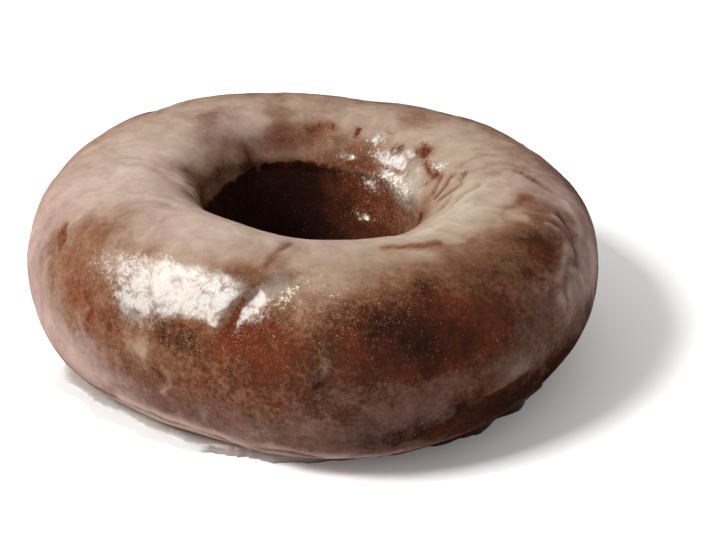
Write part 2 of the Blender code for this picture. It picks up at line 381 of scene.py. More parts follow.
def doughMaterial():
    look = doughLook
    material, tree, shader = newMaterial("glazed_chocolate_dough")
    place = addNode(tree, "ShaderNodeTexCoord").outputs["Object"]
    flow = attributeNode(tree, "flow", "Vector")
    field = {name: attributeNode(tree, name, "Fac") for name in skinBase}
    streakPlace = vectorSums(tree, "MULTIPLY", flow, look["streakStretch"])

    def swings(name, vector=place):
        *kind, amount = look["swings"][name]
        return swing(tree, noiseValue(tree, vector, *kind), amount)

    def spots(name):
        kind, span = look["spots"][name][:4], look["spots"][name][4:]
        return remap(tree, noiseValue(tree, place, *kind), *span)

    def ragged(name, amount):
        given = dict(zip(("Size", "Rag", "Edge", "Shift"), look["edges"][name]))
        return groupNode(tree, raggedMask, {"Vector": place, "Amount": amount, **given})["Mask"]

    # How thick the milky film lies: broad clouds, mottling, freckles and streaks that run down the side
    uneven = times(tree, plus(tree, swings("streaks", streakPlace), swings("freckles")), field["streak"])
    darkAndShadeMask = ragged("darkAndShade", field["darkAndShade"])
    cover = plus(tree, field["film"], swings("cloud"))
    thickness = remap(tree, cover, *look["calm"])

    def calmed(value, name):
        return times(tree, value, less(tree, 1.0, times(tree, thickness, look["calmed"][name])))

    cover = plus(tree, cover, calmed(swings("mottle"), "mottle"))
    cover = less(tree, cover, times(tree, darkAndShadeMask, look["darkCover"]))
    uneven = calmed(uneven, "streaks")
    cover = plus(tree, cover, uneven)
    thinShare = remap(tree, cover, *look["thin"], smooth=False)
    fullShare = remap(tree, cover, *look["full"])
    thickShare = remap(tree, cover, *look["thick"])

    # The dough's browns, with painted shade where the dark field reaches under the belly and into the
    # hole, the film over them and random changes of tone that make both uneven
    redMask = ragged("red", plus(tree, field["red"], uneven))
    mauveMask = ragged("mauve", plus(tree, field["mauve"], swings("tints")))
    dough = mixed(tree, redMask, look["brown"], look["redBrown"])
    dough = mixed(tree, darkAndShadeMask, dough, look["deepBrownAndShade"])
    thin = mixed(tree, mauveMask, look["thinWarm"], look["thinMauve"])
    full = mixed(tree, mauveMask, look["film"], look["mauveFilm"])
    colour = mixed(tree, fullShare, mixed(tree, thinShare, dough, thin), full)
    colour = mixed(tree, thickShare, colour, look["thickFilm"])
    shade = plus(tree, swings("broadShade"), calmed(swings("fineShade"), "shade"))
    shade = plus(tree, 1.0, times(tree, shade, look["unevenness"]))
    colour = vectorSums(tree, "MULTIPLY", colour, shade)

    # Dark red scars; sugar specks and grains of painted sparkle where the glaze catches the light;
    # painted glints
    scarred = mixed(tree, spots("crumbs"), look["brown"], look["darkRed"])
    colour = mixed(tree, ragged("scar", field["scar"]), colour, scarred)
    grain = groupNode(tree, sugarGrain, {"Vector": place, "Size": look["grainSize"]})
    specks = times(tree, grain["Specks"], remap(tree, field["grain"], *look["speckSpan"], False))
    colour = mixed(tree, specks, colour, look["speck"])
    paintedSparkle = times(tree, spots("paintedSparkle"), remap(tree, field["grain"], *look["paintedSparkleSpan"], False))
    colour = mixed(tree, paintedSparkle, colour, look["paintedSparkle"])
    colour = mixed(tree, ragged("paintedGlint", field["paintedGlint"]), colour, look["paintedGlint"])

    # Wet places, which alone have a coat that mirrors the panel; under that shine the colour is greyed, a
    # painted tint that makes the highlight look neutral
    wetMask = ragged("wet", plus(tree, field["wet"], swings("wetEdge")))
    shine = times(tree, wetMask, times(tree, spots("cracks"), spots("sparkle")))
    halo = ragged("halo", times(tree, field["wet"], look["haloReach"]))
    dryShare = less(tree, look["haloShine"], times(tree, wetMask, look["haloShine"]))
    shine = sums(tree, "MAXIMUM", shine, times(tree, halo, dryShare))
    colour = mixed(tree, times(tree, shine, look["highlightTintShare"]), colour, look["highlightTint"])

    grainy = times(tree, grain["Height"], remap(tree, field["grain"], *look["reliefSpan"], False))
    pores = times(tree, swings("pores"), less(tree, 1.0, times(tree, wetMask, look["wetSmooth"])))
    pores = plus(tree, pores, times(tree, swings("waves"), wetMask))
    given = {"Height": plus(tree, pores, grainy), "Distance": look["grainHeight"], "Strength": 1.0}
    bump = addNode(tree, "ShaderNodeBump", given).outputs[0]
    rough = remap(tree, wetMask, 0.0, 1.0, *look["rough"], False)
    setInputs(tree, shader, {"Base Color": colour, "Normal": bump, "Coat Normal": bump})
    setInputs(tree, shader, {"Roughness": rough, "Coat Weight": shine, **look["shader"]})
    return material


# The ring: the frame's solid, made finer and given the small relief of its drying glaze
ringSkin = {
    "Fine Steps": 2,
    "Lump Size": 0.0048,
    "Lump Height": 0.00014,
    "Pebble Size": 0.0019,
    "Pebble Height": 0.000035,
    "Drape Size": 0.0024,
    "Drape Height": 0.00024,
    "Boss Size": 0.0026,
    "Boss Height": 0.00040,
    "Still Below": 0.0018,  # the foot stays where the solid has it
}
drapeStretch = (1.0, 1.0, 0.18)
ringMesh = {"mergeWithin": 1e-6, "faceAngle": 40, "shapeAngle": 60}


def ringSource():
    mesh = cadRing.data.copy()
    mesh.materials.clear()
    tidy = bmesh.new()
    tidy.from_mesh(mesh)
    bmesh.ops.remove_doubles(tidy, verts=tidy.verts, dist=ringMesh["mergeWithin"])
    angles = {
        "angle_face_threshold": radians(ringMesh["faceAngle"]),
        "angle_shape_threshold": radians(ringMesh["shapeAngle"]),
    }
    bmesh.ops.join_triangles(tidy, faces=tidy.faces, **angles)
    tidy.to_mesh(mesh)
    tidy.free()
    for layer in list(mesh.attributes):
        if not layer.is_internal and not layer.is_required:
            mesh.attributes.remove(layer)
    return mesh


# Where the drying glaze lies in drapes that run across the section. Each place has its bearing, turn,
# half length and half width in millimetres, amount, and where needed the lean of its length
# (0 along the ring, 90 across the section)
drapedPlaces = (
    (184, 112, 12, 8, 1), (345, 60, 12, 9, 0.8), (336, 30, 10, 10, 0.8), (355, 95, 14, 9, 0.3),
    (20, 60, 14, 9, 0.4), (95, 110, 20, 8, 0.3), (232, 0, 22, 12, 0.35), (120, 40, 20, 10, 0.5),
    (70, 20, 18, 10, 0.6),
)

# Where the glaze set in small bosses that catch the light, as in drapedPlaces
bossedPlaces = (
    (46, 136, 8, 6, 1), (22, 146, 7, 5, 0.8), (60, 118, 6, 5, 0.7), (55, 165, 8, 8, 0.8),
    (16, 121, 4, 3, 0.6), (240, 44, 14, 6, 0.25), (85, 120, 10, 5, 0.4),
)

# Broad flats and hollows, as in drapedPlaces, with a rise in millimetres for the amount
broadForms = (
    (237, 48, 11, 6, -0.4, -8), (22, 121, 1.5, 1.6, 0.42), (27, 154, 4, 2.4, 0.6),
    (36, 159, 2.2, 1.6, 0.3), (56, 160, 2, 1.4, 0.3), (57, 186, 2.2, 0.9, 0.4), (30, 130, 1.4, 1.8, 0.24),
    (52, 122, 1.4, 1.4, 0.2), (66, 143, 1.2, 1.2, 0.2), (248, 30, 6, 4, 0.2), (257.5, 55, 3.4, 5, 0.16),
)

# Ridges and grooves of the skin where the photo shows them, in millimetres of half width and of rise,
# then how much they add to the film, which paints light on the ridges and shade in the grooves, and to
# the dark red, and the bearing and turn of each point
skinLines = (
    (0.7, 0.13, 0.15, 0, ((338, 60), (338, 47), (336, 36))),
    (0.6, 0.12, 0.15, 0, ((342, 58), (341, 49), (339, 40))),
    (0.7, 0.12, 0.15, 0, ((353, 52), (348, 42), (343, 35))),
    (0.9, 0.13, 0.17, 0, ((334, 41), (326, 32))),
    (0.6, 0.11, 0.15, 0, ((332, 31), (334, 21))),
    (0.7, 0.12, 0.15, 0, ((324, 37), (321, 33))),
    (1, 0.1, 0.12, 0, ((345, 27), (340, 14))),
    (0.5, 0.08, 0.12, 0, ((324, 24), (324, 17))),
    (0.6, 0.08, 0.12, 0, ((328, 22), (326, 15))),
    (0.7, -0.14, -0.12, 0, ((340, 58), (339, 47), (337, 38))),
    (0.8, -0.16, -0.15, 0.08, ((344, 54), (342, 46), (335, 31))),
    (0.9, -0.14, -0.15, 0.08, ((318, 47), (321, 36))),
    (0.5, -0.16, -0.22, 0.1, ((329, 118), (344, 112), (356, 98))),
    (0.7, 0.16, 0.14, 0, ((327, 114), (342, 108), (353, 96))),
    (0.5, -0.16, -0.2, 0.2, ((351, 128), (355, 116), (3, 108))),
    (0.5, -0.15, -0.2, 0.2, ((356, 132), (2, 122), (8, 115))),
    (0.5, -0.15, -0.16, 0.15, ((2, 134), (8, 126), (11, 121))),
    (0.6, -0.14, -0.16, 0, ((340, 124), (349, 118), (358, 108), (6, 98))),
    (0.7, 0.13, 0.1, 0, ((346, 124), (354, 112), (3, 101))),
    (0.5, -0.12, -0.12, 0.38, ((2, 111), (6, 104))),
    (0.5, -0.12, -0.12, 0.22, ((10, 107), (14, 97), (16, 88))),
    (0.4, -0.09, -0.1, 0, ((342, 104), (344, 97), (342, 91))),
    (0.5, -0.09, -0.1, 0, ((6, 93), (10, 86), (8, 80), (5, 72))),
    (0.5, -0.09, -0.1, 0, ((2, 91), (6, 83), (2, 77), (359, 68))),
    (0.5, -0.08, -0.07, 0, ((20, 90), (19, 80), (20, 70))),
    (0.5, -0.08, -0.07, 0, ((17, 78), (15, 73), (10, 69))),
    (0.7, -0.1, -0.12, 0, ((3, 78), (358, 70), (356, 61))),
    (0.6, 0.09, 0.1, 0, ((333, 104), (352, 98), (1, 88))),
    (0.8, 0.12, 0.12, 0, ((300, 107), (314, 103), (331, 103), (337, 93), (337, 82), (335, 72))),
    (0.5, -0.1, -0.17, 0.15, ((292, 95), (298, 93), (308, 90))),
    (0.7, -0.08, -0.15, 0.08, ((336, 86), (344, 83), (350, 76))),
    (0.6, 0.1, 0.07, 0, ((181, 88), (186, 94), (187, 104))),
    (0.5, -0.09, -0.1, 0, ((171, 88), (172, 100))),
    (0.6, -0.12, -0.15, 0, ((178, 102), (180, 124), (178, 134))),
    (0.6, 0.12, 0.07, 0, ((176, 100), (178, 114), (182, 130))),
    (0.6, -0.11, -0.1, 0, ((182, 108), (186, 120), (190, 130))),
    (0.7, -0.09, -0.07, 0, ((176, 88), (176, 98), (175, 112))),
    (0.8, 0.11, 0.07, 0, ((200, 88), (206, 98), (216, 104))),
    (0.7, -0.1, -0.12, 0, ((205, 89), (209, 97), (218, 100))),
    (0.9, 0.1, 0.1, 0, ((202, 60), (200, 70), (198, 84))),
    (0.5, -0.12, -0.15, 0.68, ((201, 56), (203, 50), (204, 45))),
    (0.6, -0.1, -0.15, 0.22, ((224, 30), (225, 24), (227, 20))),
    (0.6, -0.08, -0.12, 0.15, ((222, 27), (224, 19), (224, 13))),
    (0.7, 0.09, 0.1, 0, ((215, 17), (218, 11), (218, 4))),
    (0.7, -0.08, -0.15, 0.08, ((218, 34), (220, 21), (220, 10))),
    (0.6, -0.12, -0.2, 0.8, ((256.6, 66), (255.7, 60), (254.5, 53), (253.4, 42))),
    (0.6, -0.16, -0.08, 0.38, ((257, 68), (261, 73), (266, 79))),
    (0.7, -0.16, -0.1, 0.45, ((253, 44), (252, 34), (251, 26))),
    (0.9, 0.1, 0.1, 0, ((260, 66), (259, 58), (257, 48))),
    (0.8, -0.14, -0.1, 0.22, ((242, 39), (246, 35))),
    (0.5, -0.09, -0.15, 0.22, ((258, 82), (259, 90), (262, 99))),
    (0.5, -0.2, -0.15, 0.68, ((38, 110), (34, 114), (31, 119))),
    (0.5, -0.2, -0.15, 0.68, ((23, 125), (18, 126), (13, 127))),
    (0.6, -0.16, -0.15, 0.6, ((47, 126), (45, 123))),
    (0.5, -0.12, -0.1, 0.45, ((70, 113), (70, 120))),
    (0.8, -0.05, -0.1, 0.34, ((127, 128), (125, 140))),
    (0.5, -0.12, -0.1, 0.38, ((170, 120), (168, 127))),
    (0.6, -0.08, -0.15, 0.15, ((230, -5), (230, -14))),
    (0.6, -0.08, -0.15, 0.15, ((237, 4), (237, -8))),
    (0.6, -0.08, -0.12, 0.15, ((242, -7), (246, 0))),
    (0.5, -0.08, -0.12, 0.15, ((246, -6), (248, 1))),
    (0.8, 0.1, 0.17, 0, ((239, -1), (240, -12), (238, -22))),
    (0.6, 0.08, 0.09, 0, ((233, 10), (233, 2), (234, -8))),
    (0.6, 0.08, 0.09, 0, ((226, 12), (226, 0), (227, -12))),
    (0.7, -0.08, -0.12, 0.15, ((60, 62), (64, 48), (63, 36))),
    (0.7, 0.12, 0.12, 0, ((98, 58), (95, 40), (99, 26))),
    (0.8, -0.16, -0.12, 0.3, ((138, 66), (133, 58), (126, 50))),
    (0.7, 0.1, 0.12, 0, ((30, 40), (33, 26), (31, 12))),
    (0.7, -0.1, -0.12, 0.08, ((152, 40), (156, 25), (153, 12))),
    (0.5, -0.34, -0.4, 0, ((206, -42), (214, -44), (219, -49), (225, -51), (230, -53), (234, -58))),
    (0.7, 0.16, 0.2, 0, ((224, -44), (231, -48), (238, -50), (245, -51))),
    (0.5, -0.34, -0.4, 0, ((236, -57), (242, -56), (247, -59), (252, -64))),
    (0.7, 0.16, 0.2, 0, ((247, -50), (251, -52), (255, -56))),
    (0.42, -0.28, -0.34, 0, ((256, -58), (260, -53), (263, -48), (266, -48), (271, -52))),
    (0.8, 0.14, 0.15, 0, ((262, -41), (268, -42), (274, -46))),
    (0.7, -0.14, -0.2, 0.2, ((288, -28), (292, -22), (297, -17), (303, -13), (311, -12))),
    (0.8, 0.12, 0.1, 0, ((290, -22), (298, -12), (306, -8))),
)

# The skin's fields away from any patch
skinBase = {
    "film": 0.21, "mauve": 0.32, "red": 0.42, "darkAndShade": 0.10, "wet": 0.06, "scar": 0.0, "streak": 0.34,
    "grain": 0.06, "paintedGlint": 0.0,
}
skinTop = {"film": 0.74, "streak": -0.30, "turn": 105, "spread": 36}  # the film lies thicker on the top

# Where the skin differs from that, as in drapedPlaces
skinPatches = {
    # rows at turns of -44 and below lighten the shaded foot of the belly: painted light
    "film": (
        (263, 42, 3, 3, 0.16), (254, 34, 4, 3, 0.12), (272, -3, 5, 6, -0.12), (268, 16, 5, 4, 0.12),
        (277, 30, 5, 4, -0.1), (259, 39, 3, 3, -0.12), (336, 8, 9, 9, 0.14), (190, 38, 8, 12, 0.1),
        (281, -49, 14, 3, 0.24), (284, -12, 6, 4, 0.1), (312, -12, 8, 4, 0.16), (272, -25, 8, 4, -0.14),
        (302, 4, 6, 4, -0.14), (328, -4, 5, 6, 0.12), (238, 17, 8, 4, 0.12), (230, 5, 5, 4, -0.1),
        (258, 20, 10, 6, 0.08), (280, 35, 6, 5, -0.12), (216, -32, 10, 4, 0.1), (60, 140, 6, 3, -0.16),
        (312, 85, 5, 4, -0.16), (208, 76, 5, 4, -0.16), (220, 50, 4, 5, 0.1), (332, 0, 6, 6, -0.14),
        (192, 58, 4, 5, -0.12), (248, 34, 3, 3, -0.12), (304, -14, 8, 4, -0.14), (222, -44, 16, 3, 0.1),
        (133, 155, 3, 4, -0.2), (222, -30, 8, 4, 0.2), (236, 15, 4, 4, 0.14), (261, 79, 4, 5, 0.12),
        (332, 70, 6, 4, 0.12), (272, 20, 1.1, 4, 0.18), (265, 52, 4, 4, 0.16), (130, 136, 4, 4, 0.16),
        (74, 144, 6, 2.2, -0.16), (314, -17, 6, 4, 0.12), (290, -10, 4, 4, 0.1), (309, -3, 4, 4, 0.12),
        (228, -48, 20, 2.4, 0.1), (216, -16, 7, 5, 0.21), (274, -50, 18, 3, 0.14),
        (217, 77, 6, 4.5, -0.14), (300, 84, 17, 3.6, -0.16), (284, 62, 11, 4, 0.26), (206, 3, 7, 7, 0.14),
        (284, 29, 5, 6, -0.08), (269, -16, 5, 7, -0.08), (309, -4, 5, 4, 0.16), (328, 8, 6, 8, 0.12),
        (341, 52, 5, 6, -0.14), (308, -30, 6, 3, -0.1), (193, 60, 5, 7, -0.12), (116, 129, 8, 3.6, -0.34),
        (61, 131, 3, 3, -0.16), (90, 110, 8, 4, 0.22), (142, 106, 4, 3, -0.12), (18, 106, 7, 3.6, -0.1),
        (358, 115, 6, 3, -0.14), (232, -62, 22, 3.2, 0.95), (238, 56, 10, 4.5, 0.24),
        (131, 128, 4, 3, 0.18), (98, 141, 6, 2.2, 0.15), (174, 136, 3, 3, -0.2), (339, 47, 5, 6, -0.1),
        (304, 46, 4, 4, -0.08), (271, 58, 4, 4, -0.04), (207, 54, 5, 6, -0.1), (220, -2, 6, 6, 0.07),
        (270, -18, 8, 3.6, 0.3), (317, 30, 5, 5, 0.16), (329, 46, 5, 6, -0.26), (355, 82, 6, 5, -0.16),
        (87, 99, 6, 4, -0.16), (139, 118, 4, 4, -0.16), (131, 137, 4, 3, 0.24), (190, 112, 5, 5, -0.14),
        (304, 88, 6, 4, 0.16), (326, 26, 8, 7, 0.18), (338, 20, 7, 8, 0.14), (304, -4, 9, 4.5, 0.2),
        (290, -6, 8, 4.5, 0.14), (232, 92, 8, 6, 0.2), (266, 14, 8, 8, -0.1), (112, 122, 6, 3, 0.04),
        (352, 112, 9, 5, 0.08), (262, 24, 8, 6, -0.12), (280, 28, 8, 6, -0.12), (291, 16, 8, 6, -0.1),
        (312, 36, 8, 8, -0.14), (329, 46, 6, 8, -0.14), (270, -30, 12, 5, 0.18), (292, 2, 11, 5, 0.14),
        (243, -27, 20, 2.8, -0.02), (206, -14, 10, 7, 0.08), (133, 148, 3, 2, 0.3),
        (33, 116, 1.8, 3, -0.4, -20), (88, 114, 3.4, 2.2, -0.3), (16, 126, 2.8, 1.4, -0.35),
        (188, 28, 9.5, 20, 0.32), (206, -14, 11, 8, 0.26), (245, -31, 22, 4.5, 0.14),
        (326, 100, 14, 4.5, 0.16), (270, 70, 4.2, 6, 0.14), (254, 75, 4.8, 3.4, -0.24, 10),
        (312, 69, 17, 4.5, -0.1), (293, 60, 2.6, 5, -0.2), (328, 60, 3.2, 4.5, -0.2),
        (345, 80, 3.2, 1.6, -0.18, 20), (300, 92, 5.5, 1.1, -0.34, -10), (289, 41, 11, 8.5, -0.2),
        (305, 28, 8, 6, -0.1), (318, 46, 6, 5, 0.1), (338, 18, 10, 9, 0.34), (353, 45, 8, 11, 0.32),
        (271, 18, 1.2, 5, 0.22), (278, 6, 4.5, 5.5, 0.14), (232, 14, 3, 5, 0.34), (259, 37, 7, 7, -0.2),
        (240, 27, 6, 3.6, -0.26), (308, -20, 17, 6, -0.28), (330, -4, 10, 6, -0.14),
        (88, 118, 3.2, 3.4, -0.26), (103, 119, 2.4, 5.6, -0.34), (80, 116, 12, 7, -0.2),
        (127, 138, 2, 4, -0.36), (139, 133, 4.4, 4.6, -0.32), (169, 120, 2.6, 4.4, -0.38),
        (132, 100, 6.2, 2.6, -0.32, 8), (53, 93, 4, 4.8, -0.24), (104, 97, 3, 3, -0.22),
        (24, 148, 6, 3.6, 0.5), (95, 138, 11, 2.6, 0.18), (262, 99, 1.6, 4, -0.2), (205, 66, 11, 6, 0.16),
        (168, 50, 20, 13, 0.36), (12, 56, 16, 8, 0.26), (205, 30, 8, 12, 0.12), (105, -10, 20, 8, -0.1),
    ),
    "mauve": (
        (303, -14, 7, 5, -0.4), (322, -26, 14, 6, 0.4), (326, 0, 6, 6, -0.35), (284, 47, 8, 5, -0.3),
        (216, -18, 7, 6, 0.35), (280, -42, 18, 5, 0.5), (238, -48, 22, 4, 0.6), (207, 52, 6, 8, -0.4),
        (329, 46, 6, 6, -0.6), (304, 0, 16, 7, 0.55), (328, 22, 12, 9, 0.45), (228, 88, 9, 7, 0.35),
        (236, 46, 12, 8, -0.5), (20, 130, 10, 8, -0.4), (190, 20, 12, 20, 0.55), (206, -15, 12, 8, 0.4),
        (250, -29, 30, 6, 0.6), (285, -2, 14, 8, 0.45), (340, 22, 12, 11, 0.6), (356, 50, 10, 12, 0.5),
        (127, 113, 7, 5, 0.45), (268, 101, 6, 4, 0.3), (182, 108, 8, 6, 0.3), (300, 72, 28, 6, -0.4),
        (268, 60, 7, 6, -0.4), (335, 96, 12, 5, -0.3), (60, 20, 20, 12, 0.3), (130, 0, 20, 12, 0.3),
        (238, 15, 20, 10, -0.25),
    ),
    "red": (
        (218, 15, 7, 8, 0.3), (325, -2, 8, 8, 0.1), (300, -15, 7, 4, 0.3), (322, -22, 15, 7, -0.4),
        (332, -6, 8, 7, -0.35), (292, 30, 11, 10, 0.2), (284, 45, 8, 6, 0.35), (259, 39, 6, 4, 0.5, 10),
        (274, 62, 11, 6, -0.3), (271, 14, 5, 5, -0.3), (258, 36, 6, 5, 0.24), (214, 28, 8, 11, 0.3),
        (250, 10, 13, 9, 0.08), (290, 56, 5, 5, 0.25), (300, 92, 5.5, 1.6, 0.5, -10),
        (345, 80, 3.6, 2, 0.2), (88, 118, 3, 3, 0.2), (45, 168, 12, 8, 0.5), (318, 66, 16, 5, -0.25),
        (80, 30, 18, 8, 0.2), (140, 20, 16, 8, 0.15),
    ),
    # rows at negative turns darken the underside of the belly: painted shade; the other rows are dark
    # patches of the dough
    "darkAndShade": (
        (261, 40, 4.4, 3, 0.12, 20), (318, -27, 18, 5, 0.34), (317, 31, 6, 6, -0.3),
        (328, 16, 6, 6, -0.3), (309, 3, 8, 4, -0.25), (286, 35, 8, 7.5, 0.74), (303, 25, 5, 5, 0.18),
        (293, 58, 2.2, 4.5, 0.26), (328, 60, 3, 4.6, 0.34), (240, 28, 6, 2.6, 0.32),
        (271, 10, 1.4, 1.5, 0.75), (304, -20, 16.5, 5, 0.5), (334, -5, 11, 7, 0.34),
        (346, 56, 1.8, 3.4, 0.4), (322, 42, 1.2, 4, 0.4), (127, 138, 2, 4, 0.25),
        (169, 120, 2.6, 4, 0.22), (40, -16, 20, 8, 0.4), (105, -20, 22, 8, 0.45), (280, -22, 10, 5, 0.35),
    ),
    "wet": (
        (238, 56.5, 9.8, 4, 1.05, -3), (231, 40, 2.6, 3.4, 0.66), (249, 59, 3.4, 3.4, 0.5),
        (222, 56, 2.4, 3.4, 0.08), (249, 39, 4.4, 2.4, -0.8), (264, 72, 2.6, 1.6, 0.45, 40),
        (258, 62.5, 6, 2.1, 0.96, 58), (254.3, 51, 4.6, 0.9, -1.6, 71), (252.6, 54, 4, 1.4, 0.55, 75),
        (250, 64, 3.4, 2.8, 0.55), (46, 132, 3, 2.1, 1.05), (35, 127, 2.7, 2.3, 0.95),
        (59, 118, 2.6, 2.2, 0.72), (53, 125, 1.4, 1.2, -0.6), (64, 134, 1.4, 2.6, -0.9),
        (70, 139, 1.4, 1.2, 0.95), (43, 145, 1.3, 1, 0.85), (40, 139, 2.2, 1.2, -0.6),
        (25, 148, 5, 3.6, 1), (18, 119, 1.6, 1.8, 1), (56, 154, 2.6, 1.8, 0.5), (60, 62, 18, 8, 0.3),
        (130, 55, 18, 8, 0.3),
    ),
    "scar": (
        (259, 41, 3.8, 2.4, 0.66, 20), (255, 38, 1.4, 3.4, 0.58), (106, 145, 2.6, 1.1, 0.5),
        (148, 138, 4, 1.3, 0.44), (166, 133, 4.4, 1.5, 0.38), (46, 125, 1.3, 1.5, 0.62),
        (16, 126, 2.4, 0.9, 0.6), (33, 116, 1.1, 2.6, 0.62, -20), (27, 123, 1, 1.8, 0.45),
        (70, 114, 1.1, 1.6, 0.55), (82, 116, 1, 1.3, 0.55), (93, 117, 1.3, 1.4, 0.55),
        (88, 114, 1, 1.6, 0.5), (62, 145, 3.8, 1.1, 0.52), (39, 157, 1.8, 1.2, 0.55),
        (12, 136, 1.4, 0.9, 0.55), (56, 111, 1, 0.9, 0.5), (4, 108, 1, 1.4, 0.42), (280, 47, 4, 2, 0.26),
        (214, 22, 5, 6, 0.16), (232, 12, 6, 4, 0.14),
    ),
    "streak": (
        (264, 28, 18, 14, 0.55), (294, 40, 15, 11, 0.4), (270, 60, 10, 5, 0.3), (222, 22, 17, 14, 0.45),
        (250, 8, 16, 10, 0.35), (335, 35, 14, 12, 0.4), (172, 112, 8, 6, 0.25),
    ),
    # painted glints: pale spots in the hole and beside the highlight, where the glaze catches the light
    "paintedGlint": (
        (25, 149, 4.2, 2.8, 0.46), (40, 147, 2, 1.4, 0.3), (58, 133, 2.4, 1.6, 0.38),
        (57, 183, 2, 0.8, 0.56), (56, 155, 2.8, 1.8, 0.36), (17, 119, 1.4, 1.6, 0.5),
        (59, 119, 2.2, 1.8, 0.4), (70, 139, 1.4, 1.1, 0.5), (264, 66, 4, 1.6, 0.34, 50),
        (250, 66, 3, 1.8, 0.34), (272, 60, 6, 4, 0.14),
    ),
    # the grain field also places the painted sparkle, most of it beside the highlights
    "grain": (
        (250, 20, 18, 12, 0.1), (210, 10, 12, 12, 0.08), (60, 128, 12, 6, 0.3), (238, 45, 18, 8.5, 0.45),
        (274, 60, 10, 6, 0.62), (57, 182, 4, 1.2, 0.9), (262, 40, 6, 4, 0.12), (300, 66, 17, 6, 0.14),
        (45, 135, 13, 8, 0.85), (48, 162, 10, 9, 1.05), (240, 10, 22, 12, 0.16), (285, 40, 16, 10, 0.08),
        (90, 115, 20, 6, 0.14), (90, 50, 30, 12, 0.12),
    ),
}

# The film on the wall of the hole, as in drapedPlaces
wallFilm = (
    (138, 163, 11, 6, 0.24), (60, 172, 6, 6, -0.15), (20, 160, 5, 5, 0.3), (52, 153, 4.4, 4.4, 0.45),
    (48, 180, 6, 2.8, 0.3), (6, 168, 6, 6, 0.28),
)

# The lip inside the hole, where the milky film stops
lipLook = {
    "shifts": ((24, 22, 18), (0, 10, 3), (70, 10, 7), (133, 10, -2), (162, 9, 4)),  # as lobes, in turn
    "rags": ((3.4, 0.0011, 4.0), (3.2, 0.0040, 2.0)),  # in turn, with the size and shift of the noise
    # the wall of the hole is painted darkest on its left-hand side, which lies in shade: painted shade
    # over the dough's own darkness
    "shadeBearing": 130,
    "shadeSpread": 56,
    "darkLeast": 0.30,
    "shadeMost": 1.6,
    "edge": 2.0,
    "scarTurn": 1.0,  # of the broken dark line along the lip
    "scarWidth": 1.6,
    "scar": 0.9,
    "scarWhole": 0.45,  # how unbroken the line is, and the noise that breaks it
    "scarBreaks": (0.9, 0.0030, 3.0),
    "wallFilm": -0.10,
    "wallStreak": 1.3,
    "wallGrain": 0.9,
}

# How the lines and patches are laid on the finished skin
skinFinish = {
    "lineGain": 1.6,
    "scarGain": 0.72,
    "scarSpread": 1.8,
    "lineWander": (2.0, 0.0026, 6.0),  # in degrees, with the size and shift of the noise
    "turnSway": (5, 0.0060, 0.0),
    "bearingSway": (3, 0.0060, 9.0),
    "flatFoot": 0.0016,  # below this height the relief fades out
    "least": -0.5,
    "most": 1.2,
}


def storeFlow(mesh, points, bearing, turn):
    angle = np.radians(bearing)
    away = ring["outerRadius"]
    along = np.radians(turn) * ring["sectionRadius"]
    storeAttribute(mesh, "flow", np.stack([away * np.cos(angle), away * np.sin(angle), along], axis=1))


def ringTree():
    inputs = [(name, "NodeSocketInt" if name == "Fine Steps" else "NodeSocketFloat") for name in ringSkin]
    tree, given = newTree("glazedSkin", inputs + [("Material", "NodeSocketMaterial")])
    inputs = {"Mesh": given["Geometry"], "Level": given["Fine Steps"]}
    fine = addNode(tree, "GeometryNodeSubdivisionSurface", inputs)
    place = addNode(tree, "GeometryNodeInputPosition").outputs[0]
    normal = addNode(tree, "GeometryNodeInputNormal").outputs[0]

    def swell(vector, size, height, detail, warp):
        scale = sums(tree, "DIVIDE", 1.0, size)
        inputs = {"Vector": vector, "Scale": scale, "Detail": detail, "Distortion": warp}
        pattern = addNode(tree, "ShaderNodeTexNoise", inputs).outputs[0]
        return times(tree, swing(tree, pattern, 2.0), height)

    lumps = swell(place, given["Lump Size"], given["Lump Height"], 3.0, 0.3)
    pebbles = swell(place, given["Pebble Size"], given["Pebble Height"], 1.0, 0.0)
    across = vectorSums(tree, "MULTIPLY", storedField(tree, "flow", "FLOAT_VECTOR"), drapeStretch)
    drapes = swell(across, given["Drape Size"], given["Drape Height"], 1.0, 0.4)
    drapes = times(tree, drapes, storedField(tree, "draped", "FLOAT"))
    bosses = swell(place, given["Boss Size"], given["Boss Height"], 2.0, 0.3)
    bosses = times(tree, bosses, storedField(tree, "bossed", "FLOAT"))
    height = plus(tree, plus(tree, lumps, bosses), plus(tree, pebbles, drapes))
    offset = addNode(tree, "ShaderNodeVectorMath", {0: normal}, operation="SCALE")
    tree.links.new(height, offset.inputs["Scale"])
    upward = addNode(tree, "ShaderNodeSeparateXYZ", {0: place}).outputs[2]
    high = sums(tree, "GREATER_THAN", upward, given["Still Below"])
    inputs = {"Geometry": fine.outputs[0], "Selection": high, "Offset": offset.outputs[0]}
    moved = addNode(tree, "GeometryNodeSetPosition", inputs)
    smooth = addNode(tree, "GeometryNodeSetShadeSmooth", {"Geometry": moved.outputs[0]})
    closeTree(tree, smooth.outputs[0], given["Material"])
    return tree


